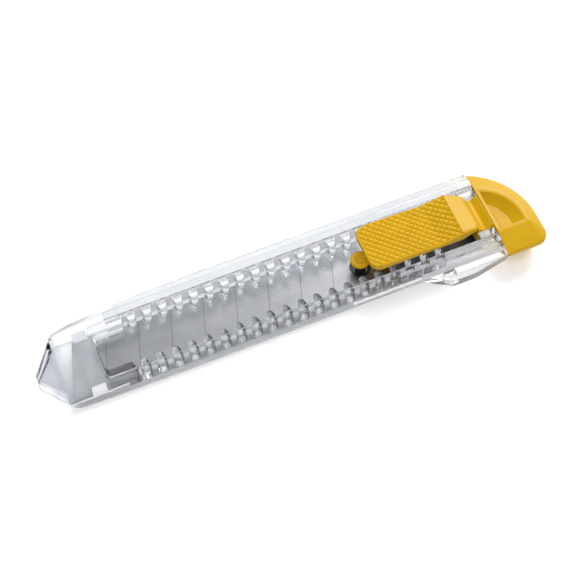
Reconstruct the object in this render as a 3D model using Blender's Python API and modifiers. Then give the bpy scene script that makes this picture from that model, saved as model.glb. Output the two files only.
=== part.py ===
"""Snap-off utility knife: a clear moulded housing, an 18 mm segmented blade on a sliding carrier,
a thumb pad and a push-in end cap.

Frame: +X runs from the nose to the end cap, +Z out of the front face (the thumb pad's side), and the
blade's cutting edge is at -Y. The origin is on the flat back, at mid length and on the channel's centre line.
All sizes are in metres.
"""

import math

import bmesh
import bpy
from mathutils import Vector

GAP = 0.0003  # clearance between pieces that touch or slide

# Housing, outside
OVERALL_LENGTH = 0.1526  # nose tip to the end cap's outermost point
HOUSING_LENGTH = 0.1388  # nose tip to the joint with the end cap
BODY_WIDTH = 0.0303
BODY_HEIGHT = 0.0100
BACK_WIDTH = 0.0200
EDGE_DROP = 0.0010  # how far the widest edge lies below the front face
NOSE_LENGTH = 0.0076
NOSE_WIDTH = 0.0272  # across the shoulders where the pointed nose starts
NOSE_EDGE_DROP = 0.0034
NOSE_FACE_DROP = 0.0018
NOSE_BACK_RISE = 0.0014
NOSE_FACE_MARGIN = 0.0030  # from the nose's face edge to its widest edge
NOSE_TIP_WIDTH = 0.0015
NOSE_CORNER = 0.12  # rounding of the nose's shoulders, as a share of its width
TAPER_LENGTH = 0.0440  # stretch behind the shoulders that narrows towards the nose
EDGE_ROUND = 0.0011

# Housing, inside
FLOOR = 0.0014  # back wall under the carrier's groove
GROOVE_WIDTH = 0.0144
RAIL_HEIGHT = 0.0027  # top of the two rails that carry the blade
SLOT_WIDTH = 0.0182
RIM_DEPTH = 0.0010  # plain rim of the slot above the teeth
RIM_LAND = 0.0024  # flat strip of the front face beside the slot
WINDOW_START = 0.0189  # from the nose tip to the front edge of the slot
NOSE_POCKET = 0.0055  # hollow under the front cover, ahead of the slot
NOSE_WALL = 0.0013  # between that hollow and the slot
COVER_WALL = 0.0018
SLOT_CORNER = 0.0016
SIDE_WALL = 0.0014
SOCKET_DEPTH = 0.0050  # plain, narrow rear stretch of the slot that takes the cap's plug
POCKET_LENGTH = 0.1150  # of the hollows in the two flanks, from the joint

# Ratchet teeth along both sides of the slot
TOOTH_PITCH = 0.00478
TOOTH_DEPTH = 0.0028
TOOTH_BASE = 0.0031
TOOTH_TIP = 0.0013
TOOTH_ROUND = 0.0006
TOOTH_COUNT = 20
LEDGE_LENGTH = 0.0094  # straight ledge between the slot's front edge and the first tooth
ROW_OFFSET = 0.0014  # how far the +Y row sits behind the -Y row

# Mould slot in the lower flank, and the hanging loop
FLANK_SLOT_LENGTH = 0.0214
FLANK_SLOT_WIDTH = 0.0006
FLANK_SLOT_DEPTH = 0.0012
FLANK_SLOT_TO_JOINT = 0.0476  # from its front end to the cap joint
FLANK_SLOT_INSET = 0.0018
LOOP_LENGTH = 0.0266
LOOP_REACH = 0.0032  # how far the loop stands out past the body's edge
LOOP_THICKNESS = 0.0028
LOOP_DROP = 0.0012
LOOP_HOLE_LENGTH = 0.0046
LOOP_HOLE_WIDTH = 0.0033
LOOP_HOLE_TO_JOINT = 0.0208

# Blade
BLADE_LENGTH = 0.1000
BLADE_WIDTH = 0.0180
BLADE_THICKNESS = 0.0005
BLADE_SETBACK = 0.0077  # from the nose tip to the blade's sharp corner, retracted
SEGMENT_LENGTH = 0.0100
SEGMENT_COUNT = 8
SCORE_LEAN = 0.0055  # how far a score line leans back over the blade's width
SCORE_WIDTH = 0.00025
SCORE_DEPTH = 0.00012
GRIND_WIDTH = 0.0013
HOLE_TO_TAIL = 0.0086

# Blade carrier, peg and thumb pad
PEG_DIAMETER = 0.0058
PEG_TOP = 0.0079
PEG_HEAD = 0.0011
PEG_NECK = 0.0034
CARRIER_NOSE = 0.0052  # carrier plate ahead of the peg's centre
RISER_LENGTH = 0.0200
SOCKET_LENGTH = 0.0110
SOCKET_WIDTH = 0.0060
STEM_LENGTH = 0.0032
PAD_LENGTH = 0.0341
PAD_WIDTH = 0.0150
PAD_THICKNESS = 0.0022
PAD_LIFT = 0.0006  # from the housing's front face to the pad's underside
PAD_FRONT_LENGTH = 0.0217  # pad front to the valley
PAD_VALLEY_DROP = 0.0007
PAD_RIDGE_RISE = 0.0006
PAD_RIDGE_RUN = 0.0066
PAD_RIDGE_FLAT = 0.0006
PAD_REAR_THICKNESS = 0.0009
PAD_CORNER = 0.0032
PAD_REAR_INSET = 0.0013  # how much narrower each side is at the rear end
PEG_TO_PAD = 0.0010  # peg centre to the pad's front edge

# End cap
CAP_LOWER_REACH = 0.0158  # centre line to the cap's -Y edge
CAP_UPPER_REACH = 0.0149
CAP_EDGE_HEIGHT = 0.0082
CAP_FACE_WIDTH = 0.0170
CAP_KNEE = 0.0060  # where the arc meets the straight end, below the centre line
CAP_FACE_INSET = 0.0033  # bevel's run at the cap's rounded end
CAP_FACE_DROP = 0.0010  # how much further the cap's face reaches to -Y
CAP_CORNER = 0.0036
CAP_POCKET_DEPTH = 0.0022
CAP_POCKET_RIM = 0.0010
CAP_POCKET_INSET = 0.0021  # from the face's rounded end to the pocket
PLUG_DROP = 0.0004  # from the cap's face to the top of its plug
PLUG_HOLLOW = 0.0014
CAP_ROUND = 0.0004

NOSE_X = -OVERALL_LENGTH / 2
CAP_X = OVERALL_LENGTH / 2
JOINT_X = NOSE_X + HOUSING_LENGTH
SHOULDER_X = NOSE_X + NOSE_LENGTH
WINDOW_X = NOSE_X + WINDOW_START
FIRST_TOOTH_X = WINDOW_X + LEDGE_LENGTH + TOOTH_BASE / 2
SOCKET_X = JOINT_X - SOCKET_DEPTH
BLADE_BOTTOM = RAIL_HEIGHT + GAP
BLADE_TOP = BLADE_BOTTOM + BLADE_THICKNESS
TOOTH_UNDERSIDE = BLADE_TOP + GAP
TOOTH_TOP = BODY_HEIGHT - RIM_DEPTH
TIP_HALF = SLOT_WIDTH / 2 - TOOTH_DEPTH
BLADE_TIP_X = NOSE_X + BLADE_SETBACK
BLADE_TAIL_X = BLADE_TIP_X + BLADE_LENGTH
PEG_X = BLADE_TAIL_X - HOLE_TO_TAIL
PAD_X = PEG_X + PEG_TO_PAD
PAD_BOTTOM = BODY_HEIGHT + PAD_LIFT
PAD_END_X = PAD_X + PAD_LENGTH
RISER_X = BLADE_TAIL_X + GAP
LOOP_X = JOINT_X - LOOP_LENGTH
TRIM_X = JOINT_X + 2 * EDGE_ROUND  # the housing is built a little long and cut square at the joint


def clear_scene():
    for old in list(bpy.data.objects):
        bpy.data.objects.remove(old, do_unlink=True)


def collection(name):
    made = bpy.data.collections.new(name)
    bpy.context.scene.collection.children.link(made)
    return made


def material(name, color, roughness, metallic=0.0, alpha=1.0):
    made = bpy.data.materials.new(name)
    made.use_nodes = True
    shader = made.node_tree.nodes["Principled BSDF"]
    shader.inputs["Base Color"].default_value = (*color, 1.0)
    shader.inputs["Roughness"].default_value = roughness
    shader.inputs["Metallic"].default_value = metallic
    shader.inputs["Alpha"].default_value = alpha
    made.diffuse_color = (*color, alpha)
    return made


def object_from(bm, name, home):
    bmesh.ops.recalc_face_normals(bm, faces=bm.faces)
    mesh = bpy.data.meshes.new(name)
    bm.to_mesh(mesh)
    bm.free()
    made = bpy.data.objects.new(name, mesh)
    home.objects.link(made)
    return made


def loft(name, home, rings):
    """Closed solid through rings of equally many points, capped at both ends."""
    bm = bmesh.new()
    loops = [[bm.verts.new(point) for point in ring] for ring in rings]
    count = len(loops[0])
    for low, high in zip(loops, loops[1:]):
        for i in range(count):
            j = (i + 1) % count
            bm.faces.new((low[i], low[j], high[j], high[i]))
    bm.faces.new(loops[0])
    bm.faces.new(loops[-1])
    return object_from(bm, name, home)


def prism(name, home, outline, start, end, axis="Z"):
    """Outline extruded from start to end. Along Z its points are (x, y), along X (y, z), along Y (x, z)."""
    place = {
        "Z": lambda a, b, c: (a, b, c),
        "X": lambda a, b, c: (c, a, b),
        "Y": lambda a, b, c: (a, c, b),
    }[axis]
    bm = bmesh.new()
    face = bm.faces.new([bm.verts.new(place(a, b, start)) for a, b in outline])
    grown = bmesh.ops.extrude_face_region(bm, geom=[face])["geom"]
    moved = [item for item in grown if isinstance(item, bmesh.types.BMVert)]
    bmesh.ops.translate(bm, verts=moved, vec=Vector(place(0, 0, end - start)))
    return object_from(bm, name, home)


def box(name, home, low, high):
    bm = bmesh.new()
    bmesh.ops.create_cube(bm, size=1.0)
    size = [b - a for a, b in zip(low, high)]
    bmesh.ops.scale(bm, vec=size, verts=bm.verts)
    bmesh.ops.translate(bm, vec=[(a + b) / 2 for a, b in zip(low, high)], verts=bm.verts)
    return object_from(bm, name, home)


def cylinder(name, home, x, y, bottom, top, diameter, sides=32):
    bm = bmesh.new()
    bmesh.ops.create_cone(
        bm, cap_ends=True, segments=sides, radius1=diameter / 2, radius2=diameter / 2, depth=top - bottom
    )
    bmesh.ops.translate(bm, vec=(x, y, (bottom + top) / 2), verts=bm.verts)
    return object_from(bm, name, home)


def rounded(corners, steps=4):
    """Outline through (x, y, radius) corners, each replaced by an arc tangent to both of its sides."""
    outline = []
    for i, (x, y, radius) in enumerate(corners):
        here = Vector((x, y))
        to_last = (Vector(corners[i - 1][:2]) - here).normalized()
        to_next = (Vector(corners[(i + 1) % len(corners)][:2]) - here).normalized()
        if radius == 0:
            outline.append((x, y))
            continue
        half = to_last.angle(to_next) / 2
        centre = here + (to_last + to_next).normalized() * radius / math.sin(half)
        first = here + to_last * radius / math.tan(half) - centre
        last = here + to_next * radius / math.tan(half) - centre
        turn = first.angle_signed(last)
        for k in range(steps + 1):
            angle = -turn * k / steps
            cos, sin = math.cos(angle), math.sin(angle)
            outline.append((centre.x + first.x * cos - first.y * sin, centre.y + first.x * sin + first.y * cos))
    return outline


def combine(target, tool, operation="DIFFERENCE"):
    step = target.modifiers.new(tool.name, "BOOLEAN")
    step.operation = operation
    step.object = tool
    step.solver = "EXACT"
    tool.hide_render = True
    tool.display_type = "WIRE"


def bevel(target, width, segments, angle):
    step = target.modifiers.new("rounded edges", "BEVEL")
    step.width = width
    step.segments = segments
    step.limit_method = "ANGLE"
    step.angle_limit = math.radians(angle)


def finish(piece, finish_material):
    piece.data.materials.append(finish_material)
    piece.data.shade_smooth()
    piece.data.set_sharp_from_angle(angle=math.radians(35))


def set_origin(piece, point):
    """Moves the piece's origin to the point and leaves its shape where it is."""
    piece.data.transform(piece.matrix_world.inverted())
    for vertex in piece.data.vertices:
        vertex.co -= Vector(point)
    piece.location = point


def housing_section(x):
    """Six-sided section at x: face, widest edge and back, all shrinking together along the pointed nose."""
    reach = min(max((SHOULDER_X + TAPER_LENGTH - x) / TAPER_LENGTH, 0.0), 1.0)
    bow = reach * reach
    edge_half = BODY_WIDTH / 2 - bow * (BODY_WIDTH - NOSE_WIDTH) / 2
    land = SLOT_WIDTH / 2 + RIM_LAND
    face_half = land + bow * (NOSE_WIDTH / 2 - NOSE_FACE_MARGIN - land)
    edge_z = BODY_HEIGHT - EDGE_DROP - bow * (NOSE_EDGE_DROP - EDGE_DROP)
    dip = min(max((WINDOW_X - x) / WINDOW_START, 0.0), 1.0) ** 2
    face_z = BODY_HEIGHT - NOSE_FACE_DROP * dip
    back_z = NOSE_BACK_RISE * dip
    shrink = nose_share(x)
    face = face_half * shrink
    edge = edge_half * shrink
    back = BACK_WIDTH / 2 * shrink
    soft = EDGE_ROUND * shrink
    corners = [
        (face, face_z, soft),
        (edge, edge_z, soft),
        (back, back_z, soft),
        (-back, back_z, soft),
        (-edge, edge_z, soft),
        (-face, face_z, soft),
    ]
    return [(x, y, z) for y, z in rounded(corners, 2)]


def nose_share(x):
    """Width of the pointed nose at x as a share of its shoulder width, rounded at the shoulder and the tip."""
    along = (x - NOSE_X) / NOSE_LENGTH
    blunt = NOSE_TIP_WIDTH / NOSE_WIDTH
    straight = blunt + (1 - blunt) * along
    lack = 1.0 - straight
    return 1.0 - (math.sqrt(lack**2 + NOSE_CORNER**2) + lack) / 2 if along < 2 else 1.0


def nose_stations():
    """Closely spaced at the tip and the shoulders, one by one along the bow, then straight to the joint."""
    nose = [NOSE_X + NOSE_LENGTH * share for share in (0.0, 0.04, 0.8, 0.95, 1.1, 1.3)]
    bow = [SHOULDER_X + TAPER_LENGTH * share for share in (0.12, 0.22, 0.34, 0.5, 0.7, 1.0)]
    return nose + bow + [TRIM_X]


def tooth_row(sign, offset):
    """Points of one side of the slot in plan, from the ledge to the plain rear stretch."""
    wall = sign * SLOT_WIDTH / 2
    tip = sign * TIP_HALF
    points = [(FIRST_TOOTH_X + offset - TOOTH_PITCH + TOOTH_BASE / 2, tip)]
    points.append((points[0][0] + (TOOTH_BASE - TOOTH_TIP) / 2, wall))
    shoulder = sign * (TIP_HALF + TOOTH_ROUND)
    spread = (TOOTH_TIP + TOOTH_ROUND) / 2
    for n in range(TOOTH_COUNT):
        x = FIRST_TOOTH_X + offset + n * TOOTH_PITCH
        points += [
            (x - TOOTH_BASE / 2, wall),
            (x - spread, shoulder),
            (x - TOOTH_TIP / 4, tip),
            (x + TOOTH_TIP / 4, tip),
            (x + spread, shoulder),
            (x + TOOTH_BASE / 2, wall),
        ]
    return points


def toothed_outline(end_x):
    """Plan of the slot between its two rows of teeth."""
    lower = tooth_row(-1, 0.0)
    upper = tooth_row(1, ROW_OFFSET)
    corners = rounded(
        [
            (WINDOW_X, TIP_HALF, SLOT_CORNER),
            (WINDOW_X, -TIP_HALF, SLOT_CORNER),
            (WINDOW_X + LEDGE_LENGTH, -TIP_HALF, 0),
            (WINDOW_X + LEDGE_LENGTH, TIP_HALF, 0),
        ]
    )
    front = corners[:-2]
    wall = SLOT_WIDTH / 2
    rear = [(SOCKET_X, -wall), (SOCKET_X, -TIP_HALF), (end_x, -TIP_HALF)]
    mirrored = [(x, -y) for x, y in rear]
    return front + lower + rear + mirrored[::-1] + upper[::-1]


def side_pocket(name, home, sign):
    """Long hollow in one flank, open at the joint and closed off by the cap."""
    top = BODY_HEIGHT - EDGE_DROP - SIDE_WALL
    inner = SLOT_WIDTH / 2 + SIDE_WALL
    slope = (BODY_WIDTH - BACK_WIDTH) / 2 / (BODY_HEIGHT - EDGE_DROP)
    outer = BODY_WIDTH / 2 - SIDE_WALL * math.sqrt(1 + slope**2) - slope * SIDE_WALL
    low = top - (outer - inner) / slope
    outline = [(sign * inner, top), (sign * outer, top), (sign * inner, low)]
    return prism(name, home, outline, JOINT_X - POCKET_LENGTH, TRIM_X + GAP, axis="X")


def loop_outline():
    root = -(BODY_WIDTH / 2 - LOOP_THICKNESS)
    outer = -(BODY_WIDTH / 2 + LOOP_REACH)
    return rounded(
        [
            (LOOP_X, root, 0),
            (LOOP_X + LOOP_LENGTH * 0.12, -BODY_WIDTH / 2, LOOP_REACH),
            (LOOP_X + LOOP_LENGTH * 0.32, outer, LOOP_REACH),
            (LOOP_X + LOOP_LENGTH * 0.58, outer, LOOP_REACH * 3),
            (JOINT_X + EDGE_ROUND, -CAP_LOWER_REACH, 0),
            (JOINT_X + EDGE_ROUND, root, 0),
        ]
    )


def loop_hole_outline():
    start = JOINT_X - LOOP_HOLE_TO_JOINT
    end = start + LOOP_HOLE_LENGTH
    inner = -(BODY_WIDTH / 2 - LOOP_DROP + GAP)
    outer = inner - LOOP_HOLE_WIDTH
    middle = (start + end) / 2
    corner = LOOP_HOLE_WIDTH / 4
    return rounded([(start, inner, corner), (middle, outer, corner), (end, outer + corner, corner), (end, inner, corner)])


def housing(home, cutters, finish_material):
    body = loft("housing", home, [housing_section(x) for x in nose_stations()])
    top = BODY_HEIGHT - LOOP_DROP
    combine(body, prism("loop_plate", cutters, loop_outline(), top - LOOP_THICKNESS, top), "UNION")
    above = BODY_HEIGHT + RIM_DEPTH
    past = TRIM_X + EDGE_ROUND
    rim = rounded(
        [
            (WINDOW_X - RIM_DEPTH, SLOT_WIDTH / 2, SLOT_CORNER),
            (WINDOW_X - RIM_DEPTH, -SLOT_WIDTH / 2, SLOT_CORNER),
            (past, -SLOT_WIDTH / 2, 0),
            (past, SLOT_WIDTH / 2, 0),
        ]
    )
    combine(body, prism("rim_cut", cutters, rim, TOOTH_TOP, above))
    combine(body, prism("slot_cut", cutters, toothed_outline(past), TOOTH_UNDERSIDE - RIM_DEPTH / 4, above))
    half = BLADE_WIDTH / 2 + GAP
    combine(
        body, box("blade_channel", cutters, (NOSE_X - GAP, -half, RAIL_HEIGHT), (past, half, TOOTH_UNDERSIDE))
    )
    groove = GROOVE_WIDTH / 2
    pocket_x = WINDOW_X - NOSE_POCKET
    combine(body, box("carrier_groove", cutters, (pocket_x, -groove, FLOOR), (past, groove, TOOTH_UNDERSIDE)))
    cover = BODY_HEIGHT - COVER_WALL
    pocket_end = WINDOW_X - NOSE_WALL
    combine(body, box("nose_pocket", cutters, (pocket_x, -half, RAIL_HEIGHT), (pocket_end, half, cover - GAP)))
    for sign, name in ((1, "upper_pocket"), (-1, "lower_pocket")):
        combine(body, side_pocket(name, cutters, sign))
    start = JOINT_X - FLANK_SLOT_TO_JOINT
    flank_y = -(BODY_WIDTH / 2 - FLANK_SLOT_INSET)
    flank_top = BODY_HEIGHT
    combine(
        body,
        box(
            "flank_slot",
            cutters,
            (start, flank_y - FLANK_SLOT_WIDTH / 2, BODY_HEIGHT - EDGE_DROP - FLANK_SLOT_DEPTH),
            (start + FLANK_SLOT_LENGTH, flank_y + FLANK_SLOT_WIDTH / 2, flank_top),
        ),
    )
    combine(body, prism("loop_hole", cutters, loop_hole_outline(), -GAP, above))
    reach = BODY_WIDTH / 2 + LOOP_REACH + GAP
    combine(body, box("joint_cut", cutters, (JOINT_X, -reach, -GAP), (past + GAP, reach, above)))
    finish(body, finish_material)
    return body


def blade(home, cutters, finish_material):
    half = BLADE_WIDTH / 2
    middle = BLADE_BOTTOM + BLADE_THICKNESS / 2
    section = [
        (half, BLADE_BOTTOM),
        (half, BLADE_TOP),
        (GRIND_WIDTH - half, BLADE_TOP),
        (-half, middle),
        (GRIND_WIDTH - half, BLADE_BOTTOM),
    ]
    lean = SCORE_LEAN / BLADE_WIDTH
    front = [(BLADE_TIP_X + (y + half) * lean, y, z) for y, z in section]
    tail = [(BLADE_TAIL_X, y, z) for y, z in section]
    strip = loft("blade", home, [front, tail])
    for n in range(1, SEGMENT_COUNT + 1):
        x = BLADE_TIP_X + n * SEGMENT_LENGTH
        reach = half + GAP
        low_x = x - GAP * lean
        high_x = x + (BLADE_WIDTH + GAP) * lean
        outline = [
            (low_x - SCORE_WIDTH / 2, -reach),
            (low_x + SCORE_WIDTH / 2, -reach),
            (high_x + SCORE_WIDTH / 2, reach),
            (high_x - SCORE_WIDTH / 2, reach),
        ]
        combine(strip, prism(f"score_{n}", cutters, outline, BLADE_TOP - SCORE_DEPTH, BLADE_TOP + GAP))
    hole = PEG_DIAMETER + 2 * GAP
    combine(strip, cylinder("tail_hole", cutters, PEG_X, 0, BLADE_BOTTOM - GAP, BLADE_TOP + GAP, hole))
    finish(strip, finish_material)
    return strip


def blade_carrier(home, cutters, finish_material):
    """Plate under the blade, and a riser behind the blade's tail that carries the pad."""
    low = FLOOR + GAP
    half = GROOVE_WIDTH / 2 - GAP
    plate = box("blade_carrier", home, (PEG_X - CARRIER_NOSE, -half, low), (PAD_END_X, half, RAIL_HEIGHT))
    seat = PEG_NECK + 2 * GAP
    combine(plate, cylinder("peg_seat", cutters, PEG_X, 0, low - GAP, RAIL_HEIGHT + GAP, seat))
    neck = TIP_HALF - GAP
    riser_end = RISER_X + RISER_LENGTH
    riser = box(
        "riser", cutters, (RISER_X, -neck, (low + RAIL_HEIGHT) / 2), (riser_end, neck, TOOTH_TOP - GAP)
    )
    combine(plate, riser, "UNION")
    middle = (RISER_X + riser_end) / 2
    combine(
        plate,
        box(
            "stem_socket",
            cutters,
            (middle - SOCKET_LENGTH / 2, -SOCKET_WIDTH / 2, TOOTH_TOP - GAP - STEM_LENGTH - GAP),
            (middle + SOCKET_LENGTH / 2, SOCKET_WIDTH / 2, TOOTH_TOP + GAP),
        ),
    )
    finish(plate, finish_material)
    set_origin(plate, (PEG_X, 0, low))
    return plate


def blade_peg(home, cutters, finish_material):
    """Stud in the carrier whose head passes through the blade's tail hole."""
    neck = cylinder("blade_peg", home, PEG_X, 0, FLOOR + GAP, PEG_TOP - PEG_HEAD / 2, PEG_NECK)
    head = cylinder("peg_head", cutters, PEG_X, 0, PEG_TOP - PEG_HEAD, PEG_TOP, PEG_DIAMETER, 48)
    combine(neck, head, "UNION")
    finish(neck, finish_material)
    set_origin(neck, (PEG_X, 0, FLOOR + GAP))
    return neck


def thumb_pad(home, cutters, finish_material):
    top = PAD_BOTTOM + PAD_THICKNESS
    valley = PAD_X + PAD_FRONT_LENGTH
    ridge = valley + PAD_RIDGE_RUN
    side = [
        (PAD_X, PAD_BOTTOM),
        (PAD_X, top - PAD_CORNER / 4),
        (PAD_X + PAD_CORNER / 2, top),
        (valley, top - PAD_VALLEY_DROP),
        (ridge, top + PAD_RIDGE_RISE),
        (ridge + PAD_RIDGE_FLAT, top + PAD_RIDGE_RISE),
        (PAD_END_X, PAD_BOTTOM + PAD_REAR_THICKNESS),
        (PAD_END_X, PAD_BOTTOM),
    ]
    half = PAD_WIDTH / 2
    pad = prism("thumb_pad", home, side, -half, half, axis="Y")
    plan = rounded(
        [
            (PAD_X, half, PAD_CORNER),
            (PAD_X, -half, PAD_CORNER),
            (ridge, -half, PAD_CORNER),
            (PAD_END_X, PAD_REAR_INSET - half, PAD_CORNER / 2),
            (PAD_END_X, half - PAD_REAR_INSET, PAD_CORNER / 2),
            (ridge, half, PAD_CORNER),
        ]
    )
    combine(pad, prism("pad_plan", cutters, plan, PAD_BOTTOM - GAP, top + 2 * PAD_RIDGE_RISE), "INTERSECT")
    middle = RISER_X + RISER_LENGTH / 2
    length = SOCKET_LENGTH / 2 - GAP
    width = SOCKET_WIDTH / 2 - GAP
    low = TOOTH_TOP - GAP - STEM_LENGTH
    stem = box("stem", cutters, (middle - length, -width, low), (middle + length, width, PAD_BOTTOM + GAP))
    combine(pad, stem, "UNION")
    finish(pad, finish_material)
    set_origin(pad, (PAD_X, 0, PAD_BOTTOM))
    return pad


def cap_ring(start_x, end_x, lower, upper, corner, z, steps=12):
    """Cap outline at height z: straight at the joint, an arc into the straight end, one rounded -Y corner."""
    rise = upper + CAP_KNEE
    run = end_x - start_x
    if run < rise:
        across = along = (run * run + rise * rise) / (2 * run)
        sweep = math.asin(rise / across)
    else:  # a long cap ends in a quarter of an ellipse
        across, along, sweep = rise, run, math.pi / 2
    ring = []
    for k in range(steps + 1):
        angle = sweep * (1 - k / steps)
        ring.append((end_x - along + along * math.cos(angle), across * math.sin(angle) - CAP_KNEE, z))
    for k in range(5):
        angle = math.pi / 2 * k / 4
        ring.append((end_x - corner + corner * math.cos(angle), corner - lower - corner * math.sin(angle), z))
    ring.append((start_x, -lower, z))
    return ring


def end_cap(home, cutters, finish_material):
    start = JOINT_X + GAP
    half = CAP_FACE_WIDTH / 2
    back = BACK_WIDTH / 2
    face_end = CAP_X - CAP_FACE_INSET
    back_corner = CAP_CORNER / 2
    rings = [
        cap_ring(start, face_end, back, back, back_corner, 0.0),
        cap_ring(start, CAP_X, CAP_LOWER_REACH, CAP_UPPER_REACH, CAP_CORNER, CAP_EDGE_HEIGHT - SIDE_WALL),
        cap_ring(start, CAP_X, CAP_LOWER_REACH, CAP_UPPER_REACH, CAP_CORNER, CAP_EDGE_HEIGHT),
        cap_ring(start, face_end, half + CAP_FACE_DROP, half, back_corner, BODY_HEIGHT),
    ]
    cap = loft("end_cap", home, rings)
    bevel(cap, CAP_ROUND, 2, 25)
    plug_half = TIP_HALF - GAP
    plug_x = SOCKET_X + GAP
    plug_top = BODY_HEIGHT - PLUG_DROP
    middle = (plug_x + start) / 2
    root = start + CAP_POCKET_RIM / 2
    profile = [
        (plug_x, RAIL_HEIGHT + GAP),
        (root, RAIL_HEIGHT + GAP),
        (root, plug_top),
        (start - GAP, plug_top),
        (middle, plug_top - PLUG_HOLLOW),
        (plug_x, plug_top - GAP),
    ]
    combine(cap, prism("plug", cutters, profile, -plug_half, plug_half, axis="Y"), "UNION")
    rim = CAP_POCKET_RIM
    reach = half - CAP_POCKET_INSET / 2
    pocket_end = face_end - CAP_POCKET_INSET
    ring = cap_ring(start + rim, pocket_end, reach, reach - rim, rim, BODY_HEIGHT)
    pocket = [(x, y) for x, y, z in ring]
    combine(cap, prism("cap_pocket", cutters, pocket, BODY_HEIGHT - CAP_POCKET_DEPTH, BODY_HEIGHT + GAP))
    finish(cap, finish_material)
    set_origin(cap, (JOINT_X, 0, BODY_HEIGHT / 2))
    return cap


def main():
    clear_scene()
    parts = collection("utility_knife")
    cutters = collection("cutters")
    clear_plastic = material("clear_plastic", (0.92, 0.94, 0.95), 0.08, alpha=0.35)
    blade_steel = material("blade_steel", (0.56, 0.57, 0.58), 0.35, metallic=1.0)
    carrier_steel = material("carrier_steel", (0.10, 0.10, 0.11), 0.40, metallic=1.0)
    yellow_plastic = material("yellow_plastic", (0.82, 0.45, 0.01), 0.38)
    housing(parts, cutters, clear_plastic)
    blade(parts, cutters, blade_steel)
    blade_carrier(parts, cutters, carrier_steel)
    blade_peg(parts, cutters, yellow_plastic)
    thumb_pad(parts, cutters, yellow_plastic)
    end_cap(parts, cutters, yellow_plastic)


main()
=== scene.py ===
"""Looks of the snap-off utility knife.

Clear housing, steel blade on a dark steel carrier, yellow peg head, thumb pad and end cap.
"""

import math

import bmesh
import bpy
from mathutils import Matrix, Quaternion, Vector


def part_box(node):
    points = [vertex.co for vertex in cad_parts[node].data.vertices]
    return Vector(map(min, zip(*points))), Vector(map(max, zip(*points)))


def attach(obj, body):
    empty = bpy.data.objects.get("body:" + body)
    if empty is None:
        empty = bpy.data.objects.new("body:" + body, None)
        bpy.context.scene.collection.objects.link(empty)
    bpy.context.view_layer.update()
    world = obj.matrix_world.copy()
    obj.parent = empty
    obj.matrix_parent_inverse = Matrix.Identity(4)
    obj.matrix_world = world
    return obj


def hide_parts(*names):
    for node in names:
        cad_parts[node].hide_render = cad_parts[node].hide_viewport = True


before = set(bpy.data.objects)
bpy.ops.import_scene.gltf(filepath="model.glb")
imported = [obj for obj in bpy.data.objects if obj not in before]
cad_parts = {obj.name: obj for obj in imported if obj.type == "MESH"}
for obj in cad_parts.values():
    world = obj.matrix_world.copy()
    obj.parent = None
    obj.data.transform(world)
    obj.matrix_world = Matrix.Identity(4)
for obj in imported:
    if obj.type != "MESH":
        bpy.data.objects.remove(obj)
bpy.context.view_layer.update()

GAP = 0.0003  # clearance that the CAD keeps between its pieces
BACK_HALF = 0.0100  # half the flat back's width
BEVEL_ANGLE = 30  # degrees that an edge turns before a bevel takes it

# Surroundings
WORLD_LEVEL = 0.16  # seen directly, in gloss and as ambient light
WORLD_THROUGH = 0.75  # seen through clear plastic
FLOOR_GLOW = 0.22  # the white table is lit from below as well
FLOOR_HALF = 3.0
FLOOR_DROP = 0.0001  # keeps the floor clear of the housing's flat back
LIGHT_TARGET = (0, 0, 0.005)
KEY_PLACE, KEY_SIDE, KEY_POWER = (0.57, 0.54, 0.60), 0.6, 8.8
TOP_PLACE, TOP_SIDE, TOP_POWER = (0.18, 0.55, 0.94), 0.9, 2.2
FILL_PLACE, FILL_SIDE, FILL_POWER = (-0.30, -0.40, 1.08), 1.0, 9.0

# Camera
TARGET = (0.0011, -0.0010, 0.0050)
DISTANCE = 0.5211
AZIMUTH = -17.75
ELEVATION = 58.18
ROLL = -5.1
LENS = 110.8  # mm
SENSOR = 36.0  # mm

# Housing
NOSE_SOLID = 0.0060  # length of the solid, pointed nose
NOSE_FADE = 0.0040  # length over which its grey fades behind it
CLEAR_IOR = 1.28
SLOT_HALF = 0.0096
SLOT_TIP_HALF = 0.0070  # the teeth's tips lie inside this
SLOT_FRONT_X = -0.0585
FIRST_TOOTH_X = -0.0490
ROOT_SHADE = 0.35  # of the recesses between the teeth
HIDDEN_SHADE = 0.85  # of walls seen only through the plastic
BASE_SHADE = 0.35  # share of that on the walls the teeth stand on
BASE_BAND = (0.0012, 0.0007)  # where it falls to that share, measured in from SLOT_HALF
UPRIGHT = (0.3, 0.5)  # |normal z| up to which a wall is fully shaded, and from which it isn't

# Blade and carrier
SCORE_DEPTH = 0.00012
CARRIER_EDGE = 0.0002

# Thumb pad
PAD_LIFT = 0.0006  # gap under the pad, above the housing's front face
PAD_EDGE = 0.0022  # thickness of the pad's front part
PAD_FRONT = 0.0217  # length of the front part, up to the valley
PAD_RIDGE_RUN = 0.0066
PAD_RIDGE_FLAT = 0.0006
PAD_VALLEY = 0.0007  # drop of the front part's top at the valley
PAD_REAR = 0.0009  # thickness at the rear edge
PAD_REAR_INSET = 0.0013
PAD_CORNER = 0.0032
PAD_ROUND = 0.0006
PAD_CORNER_STEPS = 6
PAD_STOCK = 0.001  # the uncut pad stands this far above its finished top
KNURL_PITCH = 0.00150
KNURL_DEPTH = 0.00040
KNURL_HEADROOM = 0.002  # of the cutter's lid
# One groove and the rise to the next, as (share of the pitch, share of the depth)
KNURL_SHAPE = ((0.0, 1.0), (0.10, 0.65), (0.28, 0.2), (0.5, 0.0), (0.72, 0.2), (0.90, 0.65))

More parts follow.
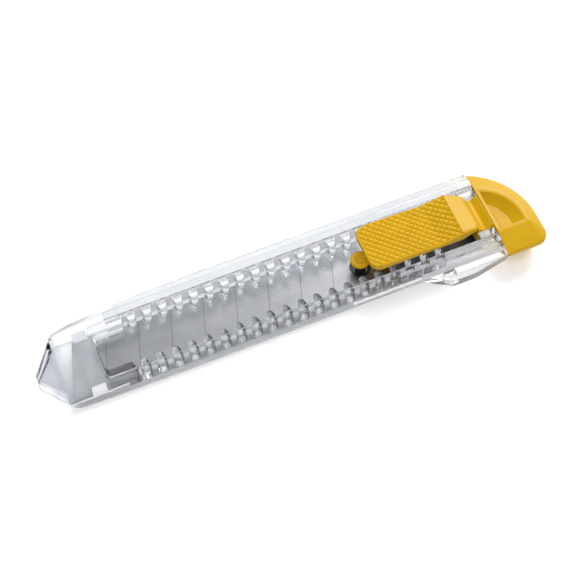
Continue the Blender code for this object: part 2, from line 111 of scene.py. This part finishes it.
# End cap
CAP_UPPER = 0.0148
CAP_LOWER = 0.0158
CAP_KNEE = 0.0060  # how far to -Y the arc meets the straight end
CAP_EDGE_Z = 0.0078
CAP_FACE_HALF = 0.0085
CAP_FACE_LOWER = 0.0088
CAP_FACE_INSET = 0.0033
CAP_CORNER = 0.0036
CAP_WALL = 0.0014  # height of the upright band along the widest edge
CAP_EASE = 0.0003  # rounding of the edges
CAP_ARC_STEPS = 28
CAP_CORNER_STEPS = 8
# The slope's rounded ends, as (share of the way to the face, height from the slope's foot or top)
SLOPE_FOOT = ((0.03, 0.0), (0.10, 0.0002))
SLOPE_TOP = ((0.90, 0.00030), (0.96, 0.00012), (1.04, 0.00002), (1.12, 0.0))
POCKET_DEPTH = 0.0022
POCKET_CORNER = 0.0005
POCKET_LIP = 0.0010  # rim left at the joint and along -Y
POCKET_ARC_RIM = 0.0015
POCKET_UPPER_RIM = 0.0022
POCKET_FLOOR_RUN = 0.0046
POCKET_FLOOR_UPPER = 0.0030  # how far the pocket's floor reaches to +Y
GRID_PITCH = 0.00078
GRID_RISE = 0.00012
GRID_SIDE = 0.68  # of a square, as a share of the pitch
GRID_TAPER = 0.6  # its top, as a share of its foot
GRID_START = 0.6  # the first square's middle, in pitches
PLUG_TOP = 0.0096
PLUG_HOLLOW = 0.0014
PLUG_LOW = 0.0030
PLUG_HALF = 0.0058
PLUG_EDGE = 0.00025
# Along the plug from the joint, as shares of its length
PLUG_HOLLOW_PLACES = (0.10, 0.46, 0.60)
PLUG_TIP_PLACE = 0.12  # from its tip

# Peg
PEG_HEAD = 0.0011
PEG_NECK = 0.0034
PEG_EASE = 0.00025
PEG_DIMPLE = 0.0003
# The dimple's wall, as (share of the head's radius, depth)
PEG_DIMPLE_WALL = ((0.38, PEG_DIMPLE), (0.50, 0.00005), (0.62, 0.0))
PEG_STEPS = 48

housing_low, housing_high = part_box("housing")
pad_low, pad_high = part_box("thumb_pad")
cap_low, cap_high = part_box("end_cap")
blade_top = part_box("blade")[1].z


# Node helpers


def new_material(name):
    made = bpy.data.materials.new(name)
    made.use_nodes = True
    return made, made.node_tree, made.node_tree.nodes["Principled BSDF"]


def position(tree, scale=(1, 1, 1), rotation=(0, 0, 0)):
    """Object coordinates, stretched and turned."""
    source = tree.nodes.new("ShaderNodeTexCoord")
    mapping = tree.nodes.new("ShaderNodeMapping")
    mapping.inputs["Scale"].default_value = scale
    mapping.inputs["Rotation"].default_value = rotation
    tree.links.new(source.outputs["Object"], mapping.inputs["Vector"])
    return mapping.outputs["Vector"]


def axes(tree, vector):
    """The vector's x, y and z."""
    node = tree.nodes.new("ShaderNodeSeparateXYZ")
    tree.links.new(vector, node.inputs["Vector"])
    return [node.outputs[axis] for axis in "XYZ"]


def noise(tree, vector, scale, detail=3.0, roughness=0.5):
    node = tree.nodes.new("ShaderNodeTexNoise")
    node.inputs["Scale"].default_value = scale
    node.inputs["Detail"].default_value = detail
    node.inputs["Roughness"].default_value = roughness
    tree.links.new(vector, node.inputs["Vector"])
    return node.outputs["Fac"]


def spread(tree, value, low, high, start=0.0, end=1.0):
    """The value mapped from start..end to low..high."""
    node = tree.nodes.new("ShaderNodeMapRange")
    ranges = {"From Min": start, "From Max": end, "To Min": low, "To Max": high}
    for name, number in ranges.items():
        node.inputs[name].default_value = number
    tree.links.new(value, node.inputs["Value"])
    return node.outputs["Result"]


def ramp(tree, value, stops):
    """Colour ramp between two (place, colour) stops."""
    node = tree.nodes.new("ShaderNodeValToRGB")
    for element, (place, color) in zip(node.color_ramp.elements, stops):
        element.position = place
        element.color = (*color, 1.0)
    tree.links.new(value, node.inputs["Fac"])
    return node.outputs["Color"]


def bump(tree, height, strength, distance):
    node = tree.nodes.new("ShaderNodeBump")
    node.inputs["Strength"].default_value = strength
    node.inputs["Distance"].default_value = distance
    tree.links.new(height, node.inputs["Height"])
    return node.outputs["Normal"]


def combine(tree, operation, first, second):
    """Math node on two sockets or numbers."""
    node = tree.nodes.new("ShaderNodeMath")
    node.operation = operation
    for i, value in enumerate((first, second)):
        if isinstance(value, (int, float)):
            node.inputs[i].default_value = value
        else:
            tree.links.new(value, node.inputs[i])
    return node.outputs[0]


def multiply(tree, first, second):
    node = tree.nodes.new("ShaderNodeMixRGB")
    node.blend_type = "MULTIPLY"
    node.inputs["Fac"].default_value = 1.0
    tree.links.new(first, node.inputs["Color1"])
    tree.links.new(second, node.inputs["Color2"])
    return node.outputs["Color"]


def blended(tree, amount, first, second):
    """Mix Shader node's output, from the first shader to the second."""
    node = tree.nodes.new("ShaderNodeMixShader")
    tree.links.new(amount, node.inputs["Fac"])
    tree.links.new(first, node.inputs[1])
    tree.links.new(second, node.inputs[2])
    return node.outputs["Shader"]


# Materials


def slot_shade(tree, level, within, x, y, z):
    """How much painted shade the slot's upright walls get: most where they are met from inside
    the plastic.
    """
    upright = spread(tree, level, 1.0, 0.0, *UPRIGHT)
    beside = combine(tree, "ABSOLUTE", y, 0.0)
    base_start, base_end = (SLOT_HALF - inset for inset in BASE_BAND)
    teeth = combine(tree, "GREATER_THAN", x, FIRST_TOOTH_X)
    open_shade = combine(tree, "MULTIPLY", spread(tree, within, ROOT_SHADE, 0.0), teeth)
    amount = combine(tree, "MAXIMUM", open_shade, spread(tree, within, 0.0, HIDDEN_SHADE))
    shade = combine(tree, "MULTIPLY", upright, amount)
    tips = combine(tree, "MULTIPLY", teeth, combine(tree, "LESS_THAN", beside, SLOT_TIP_HALF))
    limits = (
        spread(tree, beside, 1.0, BASE_SHADE, base_start, base_end),
        combine(tree, "LESS_THAN", beside, SLOT_HALF),
        combine(tree, "GREATER_THAN", x, SLOT_FRONT_X),
        combine(tree, "GREATER_THAN", z, blade_top),
        combine(tree, "SUBTRACT", 1.0, tips),
    )
    for limit in limits:
        shade = combine(tree, "MULTIPLY", shade, limit)
    return shade


def clear_plastic():
    """Clear moulded polystyrene: flow marks, scuffs, greyer in the nose, with painted shade on
    upright walls and on the slot's walls.
    """
    made, tree, shader = new_material("clear_plastic")
    flow = noise(tree, position(tree, (25, 90, 90)), scale=3.0, detail=2.0)
    worn = position(tree, (160, 900, 500), (0, 0, 0.3))
    scuffs = noise(tree, worn, scale=4.0, detail=5.0, roughness=0.6)
    geometry = tree.nodes.new("ShaderNodeNewGeometry")
    x, y, z = axes(tree, geometry.outputs["Position"])
    level = combine(tree, "ABSOLUTE", axes(tree, geometry.outputs["Normal"])[2], 0.0)
    # Painted shade: upright faces get a darker tint than flat ones.
    painted_upright_shade = ramp(tree, level, [(0.0, (0.72, 0.73, 0.755)), (0.85, (0.86, 0.868, 0.885))])
    marks = ramp(tree, flow, [(0.3, (0.95, 0.955, 0.96)), (0.7, (1.0, 1.0, 1.0))])
    nose_end = housing_low.x + NOSE_SOLID
    along = spread(tree, x, 0.0, 1.0, nose_end, nose_end + NOSE_FADE)
    thick = ramp(tree, along, [(0.0, (0.76, 0.765, 0.785)), (1.0, (1.0, 1.0, 1.0))])
    tint = multiply(tree, multiply(tree, painted_upright_shade, marks), thick)
    tree.links.new(tint, shader.inputs["Base Color"])
    tree.links.new(spread(tree, scuffs, 0.0, 0.03, 0.35, 0.8), shader.inputs["Roughness"])
    shader.inputs["Transmission Weight"].default_value = 1.0
    shader.inputs["IOR"].default_value = CLEAR_IOR
    shader.inputs["Coat Weight"].default_value = 1.0
    shader.inputs["Coat IOR"].default_value = 1.5
    shader.inputs["Coat Roughness"].default_value = 0.04
    tree.links.new(bump(tree, flow, 0.05, 0.0003), shader.inputs["Normal"])
    # Painted shade: a near-black diffuse laid over the slot's upright walls, as much as
    # slot_shade gives.
    painted_shade_bsdf = tree.nodes.new("ShaderNodeBsdfDiffuse")
    painted_shade_tint = ramp(tree, flow, [(0.3, (0.05, 0.05, 0.055)), (0.7, (0.09, 0.09, 0.095))])
    tree.links.new(painted_shade_tint, painted_shade_bsdf.inputs["Color"])
    shade = slot_shade(tree, level, geometry.outputs["Backfacing"], x, y, z)
    body = blended(tree, shade, shader.outputs["BSDF"], painted_shade_bsdf.outputs["BSDF"])
    # Lamps and bounced light pass straight through, as through thin clear walls.
    path = tree.nodes.new("ShaderNodeLightPath")
    shadow, diffuse = path.outputs["Is Shadow Ray"], path.outputs["Is Diffuse Ray"]
    either = combine(tree, "MAXIMUM", shadow, diffuse)
    through = tree.nodes.new("ShaderNodeBsdfTransparent")
    through.inputs["Color"].default_value = (0.975, 0.98, 0.985, 1.0)
    surface = blended(tree, either, body, through.outputs["BSDF"])
    tree.links.new(surface, tree.nodes["Material Output"].inputs["Surface"])
    return made


def yellow_plastic():
    """Satin warm yellow plastic with a fine spark texture and slightly worn, paler patches."""
    made, tree, shader = new_material("yellow_plastic")
    patches = noise(tree, position(tree), scale=140.0)
    grain = noise(tree, position(tree), scale=2600.0, roughness=0.6)
    tint = ramp(tree, patches, [(0.3, (0.58, 0.333, 0.0003)), (0.7, (0.63, 0.368, 0.0008))])
    tree.links.new(tint, shader.inputs["Base Color"])
    tree.links.new(spread(tree, grain, 0.36, 0.54, 0.3, 0.7), shader.inputs["Roughness"])
    shader.inputs["Specular IOR Level"].default_value = 0.38
    tree.links.new(bump(tree, grain, 0.10, 0.00006), shader.inputs["Normal"])
    return made


def blade_steel():
    """Rolled strip steel: fine streaks along it, faint oil-film mottling, painted shade in the
    score lines.
    """
    made, tree, shader = new_material("blade_steel")
    rolled = position(tree, (60, 2400, 2400))
    streaks = noise(tree, rolled, scale=1.0, detail=4.0, roughness=0.65)
    film = noise(tree, position(tree, (60, 90, 90)), scale=2.0)
    tint = ramp(tree, film, [(0.3, (0.265, 0.272, 0.285)), (0.7, (0.315, 0.322, 0.335))])
    z = axes(tree, tree.nodes.new("ShaderNodeNewGeometry").outputs["Position"])[2]
    # Painted shade: the score lines' sunken floors are darkened.
    score_shade_mask = spread(tree, z, 1.0, 0.0, blade_top - SCORE_DEPTH, blade_top - SCORE_DEPTH / 3)
    painted_score_shade = ramp(tree, score_shade_mask, [(0.0, (1.0, 1.0, 1.0)), (1.0, (0.66, 0.66, 0.67))])
    tree.links.new(multiply(tree, tint, painted_score_shade), shader.inputs["Base Color"])
    tree.links.new(spread(tree, streaks, 0.30, 0.50, 0.3, 0.7), shader.inputs["Roughness"])
    tree.links.new(bump(tree, streaks, 0.15, 0.00004), shader.inputs["Normal"])
    shader.inputs["Metallic"].default_value = 1.0
    return made


def carrier_steel():
    """Blued spring steel: near black with a faint cool sheen and rubbed spots."""
    made, tree, shader = new_material("carrier_steel")
    rubbed = noise(tree, position(tree, (200, 500, 500)), scale=1.5, detail=4.0, roughness=0.6)
    tint = ramp(tree, rubbed, [(0.35, (0.030, 0.031, 0.036)), (0.75, (0.09, 0.09, 0.10))])
    tree.links.new(tint, shader.inputs["Base Color"])
    tree.links.new(spread(tree, rubbed, 0.28, 0.5, 0.3, 0.7), shader.inputs["Roughness"])
    shader.inputs["Metallic"].default_value = 0.8
    return made


def floor_material():
    made, tree, shader = new_material("floor_white")
    mottle = noise(tree, position(tree), scale=6.0, detail=2.0)
    tint = ramp(tree, mottle, [(0.3, (0.90, 0.90, 0.905)), (0.7, (0.93, 0.93, 0.93))])
    tree.links.new(tint, shader.inputs["Base Color"])
    shader.inputs["Roughness"].default_value = 0.6
    tree.links.new(tint, shader.inputs["Emission Color"])
    shader.inputs["Emission Strength"].default_value = FLOOR_GLOW
    return made


# Mesh helpers


def object_from(bm, name):
    bmesh.ops.recalc_face_normals(bm, faces=bm.faces)
    mesh = bpy.data.meshes.new(name)
    bm.to_mesh(mesh)
    bm.free()
    made = bpy.data.objects.new(name, mesh)
    bpy.context.scene.collection.objects.link(made)
    return made


def loft(name, rings):
    """Closed solid through rings of equally many points."""
    bm = bmesh.new()
    loops = [[bm.verts.new(point) for point in ring] for ring in rings]
    count = len(loops[0])
    for low, high in zip(loops, loops[1:]):
        for i in range(count):
            j = (i + 1) % count
            bm.faces.new((low[i], low[j], high[j], high[i]))
    bm.faces.new(loops[0])
    bm.faces.new(loops[-1])
    return object_from(bm, name)


def apply_modifiers(piece):
    graph = bpy.context.evaluated_depsgraph_get()
    mesh = bpy.data.meshes.new_from_object(piece.evaluated_get(graph))
    piece.modifiers.clear()
    piece.data = mesh


def smooth(piece, angle=35):
    """Smooth shading that leaves edges of more than the angle, in degrees, sharp."""
    piece.data.shade_smooth()
    piece.data.set_sharp_from_angle(angle=math.radians(angle))


def cut(piece, tool):
    step = piece.modifiers.new(tool.name, "BOOLEAN")
    step.operation = "DIFFERENCE"
    step.object = tool
    apply_modifiers(piece)
    bpy.data.objects.remove(tool, do_unlink=True)


def bevel(piece, width, segments=2):
    step = piece.modifiers.new("edges", "BEVEL")
    step.width = width
    step.segments = segments
    step.limit_method = "ANGLE"
    step.angle_limit = math.radians(BEVEL_ANGLE)


def rounded(corners, steps):
    """Outline through (x, y, radius) corners, each replaced by a tangent arc."""
    outline = []
    for i, (x, y, radius) in enumerate(corners):
        here = Vector((x, y))
        to_last = (Vector(corners[i - 1][:2]) - here).normalized()
        to_next = (Vector(corners[(i + 1) % len(corners)][:2]) - here).normalized()
        half = to_last.angle(to_next) / 2
        centre = here + (to_last + to_next).normalized() * radius / math.sin(half)
        first = here + to_last * radius / math.tan(half) - centre
        last = here + to_next * radius / math.tan(half) - centre
        turn = first.angle_signed(last)
        for k in range(steps + 1):
            angle = -turn * k / steps
            cos, sin = math.cos(angle), math.sin(angle)
            turned_x = first.x * cos - first.y * sin
            turned_y = first.x * sin + first.y * cos
            outline.append((centre.x + turned_x, centre.y + turned_y))
    return outline


def prism(name, outline, start, end, place=lambda a, b, c: (a, b, c)):
    """The outline drawn out from start to end; place turns (a, b, distance) into (x, y, z)."""
    bm = bmesh.new()
    face = bm.faces.new([bm.verts.new(place(a, b, start)) for a, b in outline])
    grown = bmesh.ops.extrude_face_region(bm, geom=[face])["geom"]
    moved = [item for item in grown if isinstance(item, bmesh.types.BMVert)]
    bmesh.ops.translate(bm, verts=moved, vec=Vector(place(0, 0, end - start)))
    return object_from(bm, name)


# Thumb pad


def pad_height(x):
    """Height of the pad's top at x, before its grooves."""
    underside = housing_high.z + PAD_LIFT
    top = underside + PAD_EDGE
    start = pad_low.x
    valley = start + PAD_FRONT
    ridge = valley + PAD_RIDGE_RUN
    painted_upright_shade = ridge + PAD_RIDGE_FLAT
    end = pad_high.x
    if x < valley:
        return top - PAD_VALLEY * (max(x - start, 0) / PAD_FRONT) ** 2
    if x < ridge:
        return top - PAD_VALLEY + (pad_high.z - top + PAD_VALLEY) * (x - valley) / PAD_RIDGE_RUN
    if x < painted_upright_shade:
        return pad_high.z
    low = underside + PAD_REAR
    return pad_high.z + (low - pad_high.z) * min((x - painted_upright_shade) / (end - painted_upright_shade), 1.0)


def edge_distance(x, y, outline):
    """Distance from the point to the outline."""
    best = 1.0
    here = Vector((x, y))
    for i, point in enumerate(outline):
        a = Vector(point)
        b = Vector(outline[(i + 1) % len(outline)])
        side = b - a
        share = min(max((here - a).dot(side) / side.length_squared, 0.0), 1.0)
        best = min(best, (here - a - side * share).length)
    return best


def pad_outline():
    half = (pad_high.y - pad_low.y) / 2
    ridge = pad_low.x + PAD_FRONT + PAD_RIDGE_RUN
    inset = PAD_REAR_INSET
    return rounded(
        [
            (pad_low.x, half, PAD_CORNER),
            (pad_low.x, -half, PAD_CORNER),
            (ridge, -half, PAD_CORNER),
            (pad_high.x, inset - half, PAD_CORNER / 2),
            (pad_high.x, half - inset, PAD_CORNER / 2),
            (ridge, half, PAD_CORNER),
        ],
        PAD_CORNER_STEPS,
    )


def knurl_cutter(outline):
    """Slab above the pad. Its underside is a diagonal lattice, rounded over at the pad's edge."""
    bm = bmesh.new()
    middle_x = (pad_low.x + pad_high.x) / 2
    sides = pad_high.x - pad_low.x + pad_high.y - pad_low.y
    reach = sides / 2 / math.sqrt(2) + KNURL_PITCH
    cells = math.ceil(reach / KNURL_PITCH)
    lines = []
    for k in range(-cells, cells):
        lines += [((k + place) * KNURL_PITCH, depth) for place, depth in KNURL_SHAPE]
    lines.append((cells * KNURL_PITCH, 1.0))
    ridge = pad_low.x + PAD_FRONT + PAD_RIDGE_RUN
    rows = []
    for a, a_depth in lines:
        row = []
        for b, b_depth in lines:
            x = middle_x + (a + b) / math.sqrt(2)
            y = (a - b) / math.sqrt(2)
            inside = edge_distance(x, y, outline)
            lack = max(PAD_ROUND - inside, 0.0)
            over = PAD_ROUND - math.sqrt(max(PAD_ROUND**2 - lack**2, 0.0))
            groove = KNURL_DEPTH * max(a_depth, b_depth) if x < ridge else 0.0
            groove *= min(inside / PAD_ROUND, 1.0)
            row.append(bm.verts.new((x, y, pad_height(x) - groove - over)))
        rows.append(row)
    for low, high in zip(rows, rows[1:]):
        for i in range(len(lines) - 1):
            bm.faces.new((low[i], low[i + 1], high[i + 1], high[i]))
    boundary = [edge for edge in bm.edges if edge.is_boundary]
    grown = bmesh.ops.extrude_edge_only(bm, edges=boundary)["geom"]
    lid = [item for item in grown if isinstance(item, bmesh.types.BMVert)]
    for vertex in lid:
        vertex.co.z = pad_high.z + KNURL_HEADROOM
    rim = [item for item in grown if isinstance(item, bmesh.types.BMEdge)]
    top_edges = [edge for edge in rim if all(vertex in lid for vertex in edge.verts)]
    bmesh.ops.contextual_create(bm, geom=top_edges)
    return object_from(bm, "knurl_cutter")


def thumb_pad(material):
    """Pad with a flat, ridged front and a falling rear, cut with a diamond grip."""
    outline = pad_outline()
    underside = housing_high.z + PAD_LIFT
    pad = prism("thumb_pad_grip", outline, underside, pad_high.z + PAD_STOCK)
    cut(pad, knurl_cutter(outline))
    smooth(pad, angle=30)
    pad.data.materials.clear()
    pad.data.materials.append(material)
    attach(pad, "slider")
    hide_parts("thumb_pad")


# End cap


def arc_radius(run, rise):
    """Radius of the arc that covers this run and rise and ends square to the run."""
    return (run * run + rise * rise) / (2 * run)


def cap_ring(start_x, end_x, lower, upper, corner, z):
    """Cap outline at height z: straight at the joint, an arc, one rounded -Y corner."""
    rise = upper + CAP_KNEE
    radius = arc_radius(end_x - start_x, rise)
    sweep = math.asin(rise / radius)
    ring = []
    for k in range(CAP_ARC_STEPS + 1):
        angle = sweep * (1 - k / CAP_ARC_STEPS)
        x = end_x - radius + radius * math.cos(angle)
        ring.append((x, radius * math.sin(angle) - CAP_KNEE, z))
    for k in range(CAP_CORNER_STEPS + 1):
        angle = math.pi / 2 * k / CAP_CORNER_STEPS
        x = end_x - corner + corner * math.cos(angle)
        ring.append((x, corner - lower - corner * math.sin(angle), z))
    ring.append((start_x, -lower, z))
    return ring


def slope_ring(start, end, share, z):
    """Cap outline part of the way from the widest edge to the face."""

    def between(edge, face):
        return edge + (face - edge) * share

    return cap_ring(
        start,
        between(end, end - CAP_FACE_INSET),
        between(CAP_LOWER, CAP_FACE_LOWER),
        between(CAP_UPPER, CAP_FACE_HALF),
        between(CAP_CORNER, POCKET_CORNER),
        z,
    )


def cap_shell(start, end, top, floor_end):
    """Cap from its back to its pocket's floor."""
    ease, lip = CAP_EASE, POCKET_LIP
    face_end = end - CAP_FACE_INSET
    back_half = BACK_HALF - ease
    pocket_end = face_end - POCKET_ARC_RIM
    lower = CAP_FACE_LOWER - lip
    upper = CAP_FACE_HALF - POCKET_UPPER_RIM
    rings = [
        cap_ring(start, face_end - ease, back_half, back_half, CAP_CORNER / 2, 0.0),
        cap_ring(start, face_end, BACK_HALF, BACK_HALF, CAP_CORNER / 2, ease),
        slope_ring(start, end, 0.0, CAP_EDGE_Z - CAP_WALL),
        slope_ring(start, end, 0.0, CAP_EDGE_Z - ease),
    ]
    rings += [slope_ring(start, end, share, CAP_EDGE_Z + rise) for share, rise in SLOPE_FOOT]
    rings += [slope_ring(start, end, share, top - drop) for share, drop in SLOPE_TOP]
    # (pocket's start, end, -Y side, +Y side, depth), from its rounded rim down to its floor
    pocket = (
        (start + 0.7 * lip, pocket_end + 1.6 * ease, lower + ease, upper + ease, 0.0),
        (start + 0.9 * lip, pocket_end + 0.7 * ease, lower, upper, ease / 3),
        (start + lip, pocket_end - 0.3 * ease, lower, upper - ease / 2, ease),
        (start + lip, floor_end, lower, POCKET_FLOOR_UPPER, POCKET_DEPTH),
    )
    for near, far, low_side, high_side, depth in pocket:
        rings.append(cap_ring(near, far, low_side, high_side, POCKET_CORNER, top - depth))
    return loft("end_cap_shell", rings)


def cap_plug(start):
    """Plug that fills the slot's rear stretch, with a hollow across its top."""
    run = start - cap_low.x
    root = start + POCKET_LIP / 2
    deep = PLUG_TOP - PLUG_HOLLOW
    crest, hollow_start, hollow_end = (start - share * run for share in PLUG_HOLLOW_PLACES)
    profile = [
        (cap_low.x, PLUG_LOW),
        (root, PLUG_LOW),
        (root, PLUG_TOP),
        (crest, PLUG_TOP),
        (hollow_start, deep),
        (hollow_end, deep),
        (cap_low.x + PLUG_TIP_PLACE * run, PLUG_TOP - GAP / 3),
        (cap_low.x, PLUG_TOP - GAP),
    ]
    plug = prism("cap_plug", profile, -PLUG_HALF, PLUG_HALF, lambda a, b, c: (a, c, b))
    bevel(plug, PLUG_EDGE, 3)
    return plug


def end_cap(material):
    """Cap with a pocket in its face, its plug, and the grip squares on the pocket's floor."""
    start = housing_high.x + GAP
    top = cap_high.z
    floor_start = start + POCKET_LIP
    floor_end = floor_start + POCKET_FLOOR_RUN
    cap = cap_shell(start, cap_high.x, top, floor_end)
    smooth(cap, angle=28)
    plug = cap_plug(start)
    smooth(plug)
    grid = grip_grid(floor_start, floor_end, CAP_FACE_LOWER - POCKET_LIP, top - POCKET_DEPTH)
    for piece in (cap, plug, grid):
        piece.data.materials.append(material)
        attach(piece, "end_cap")
    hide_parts("end_cap")


def grip_grid(start_x, end_x, lower, z):
    """Small raised squares on the pocket's floor, inside its curved edge."""
    run = end_x - start_x
    radius = arc_radius(run, POCKET_FLOOR_UPPER + CAP_KNEE)
    bm = bmesh.new()
    size = GRID_PITCH * GRID_SIDE
    for i in range(int(run / GRID_PITCH)):
        for j in range(int((POCKET_FLOOR_UPPER + lower) / GRID_PITCH)):
            x = start_x + (i + GRID_START) * GRID_PITCH
            y = -lower + (j + GRID_START) * GRID_PITCH
            far_x, far_y = x + size / 2 - (end_x - radius), y + size / 2 + CAP_KNEE
            if far_y > 0 and math.hypot(far_x, far_y) > radius or x + size / 2 > end_x:
                continue
            made = bmesh.ops.create_cube(bm, size=1.0)["verts"]
            bmesh.ops.scale(bm, vec=(size, size, GRID_RISE * 2), verts=made)
            for vertex in made:
                if vertex.co.z > 0:
                    vertex.co.x *= GRID_TAPER
                    vertex.co.y *= GRID_TAPER
            bmesh.ops.translate(bm, vec=(x, y, z), verts=made)
    return object_from(bm, "cap_grip_grid")


# Peg


def turned(name, profile, place):
    """Solid turned about +Z from (radius, height) points that start and end on the axis."""
    bm = bmesh.new()
    verts = [bm.verts.new((r, 0, z)) for r, z in profile]
    edges = [bm.edges.new(pair) for pair in zip(verts, verts[1:])]
    bmesh.ops.spin(
        bm,
        geom=verts + edges,
        cent=(0, 0, 0),
        axis=(0, 0, 1),
        angle=2 * math.pi,
        steps=PEG_STEPS,
        use_duplicate=False,
    )
    bmesh.ops.remove_doubles(bm, verts=bm.verts, dist=1e-6)
    bmesh.ops.translate(bm, vec=place, verts=bm.verts)
    piece = object_from(bm, name)
    smooth(piece, angle=30)
    return piece


def blade_peg(material, dark):
    """Yellow head with a rounded edge and a shallow dimple, on a near-black shank that paints the
    shade under the head.
    """
    low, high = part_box("blade_peg")
    x, y = (low.x + high.x) / 2, (low.y + high.y) / 2
    radius = (high.x - low.x) / 2
    neck = PEG_NECK / 2
    top = high.z
    under = top - PEG_HEAD
    ease = PEG_EASE
    foot = low.z - ease / 2
    dimple = [(radius * share, top - depth) for share, depth in PEG_DIMPLE_WALL]
    head = [
        (0.0, top - PEG_DIMPLE),
        *dimple,
        (radius - 2 * ease, top),
        (radius - ease, top - ease / 3),
        (radius, top - ease * 1.3),
        (radius, under + ease),
        (radius - ease, under),
        (0.0, under),
    ]
    shank = [(0.0, under), (neck, under), (neck, low.z), (neck - ease, foot), (0.0, foot)]
    # The shank gets the near-black carrier steel: painted shade under the head.
    for name, profile, made_of, slot in (
        ("peg_head", head, material, "yellow_plastic"),
        ("peg_shank_painted_shade", shank, dark, "carrier_steel"),
    ):
        piece = turned(name, profile, (x, y, 0))
        piece.data.materials.append(made_of)
        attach(piece, "slider")
        if name == "peg_head":
            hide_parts("blade_peg")


# Stage


def area_light(name, place, side, power, glossy=True):
    """Square area light that faces the knife."""
    data = bpy.data.lights.new(name, "AREA")
    data.shape = "RECTANGLE"
    data.size = data.size_y = side
    data.energy = power
    lamp = bpy.data.objects.new(name, data)
    lamp.location = place
    lamp.rotation_mode = "QUATERNION"
    lamp.rotation_quaternion = (Vector(LIGHT_TARGET) - Vector(place)).to_track_quat("-Z", "Y")
    lamp.visible_glossy = glossy
    bpy.context.scene.collection.objects.link(lamp)


def stage_and_lights():
    bm = bmesh.new()
    bmesh.ops.create_grid(bm, x_segments=2, y_segments=2, size=FLOOR_HALF)
    floor = object_from(bm, "floor")
    floor.location.z = -FLOOR_DROP
    floor.data.materials.append(floor_material())

    world = bpy.data.worlds.new("studio")
    bpy.context.scene.world = world
    world.use_nodes = True
    tree = world.node_tree
    background = tree.nodes["Background"]
    background.inputs["Color"].default_value = (1.0, 1.0, 1.0, 1.0)
    # The walls around the set are brighter through clear plastic than in a gloss.
    path = tree.nodes.new("ShaderNodeLightPath")
    level = spread(tree, path.outputs["Is Transmission Ray"], WORLD_LEVEL, WORLD_THROUGH)
    tree.links.new(level, background.inputs["Strength"])

    area_light("key_light", KEY_PLACE, KEY_SIDE, KEY_POWER)
    area_light("top_light", TOP_PLACE, TOP_SIDE, TOP_POWER)
    area_light("fill_light", FILL_PLACE, FILL_SIDE, FILL_POWER, glossy=False)


def camera():
    azimuth, elevation = math.radians(AZIMUTH), math.radians(ELEVATION)
    back = Vector(
        (
            math.sin(azimuth) * math.cos(elevation),
            -math.cos(azimuth) * math.cos(elevation),
            math.sin(elevation),
        )
    )
    data = bpy.data.cameras.new("camera")
    data.lens = LENS
    data.sensor_width = SENSOR
    made = bpy.data.objects.new("camera", data)
    made.location = Vector(TARGET) + back * DISTANCE
    made.rotation_mode = "QUATERNION"
    turn = Quaternion((0, 0, 1), math.radians(ROLL))
    made.rotation_quaternion = (-back).to_track_quat("-Z", "Y") @ turn
    bpy.context.scene.collection.objects.link(made)
    bpy.context.scene.camera = made


def dress(node, material, width=0.0):
    """A CAD node that stays gets its material and, with a width, rounded edges."""
    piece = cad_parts[node]
    piece.data.materials.clear()
    piece.data.materials.append(material)
    if width:
        bevel(piece, width)


# Build

camera()
stage_and_lights()
bpy.context.scene.view_settings.view_transform = "Standard"
clear = clear_plastic()
yellow = yellow_plastic()
steel = blade_steel()
dress("housing", clear)
dress("blade", steel)
dark = carrier_steel()
dress("blade_carrier", dark, CARRIER_EDGE)
blade_peg(yellow, dark)
thumb_pad(yellow)
end_cap(yellow)
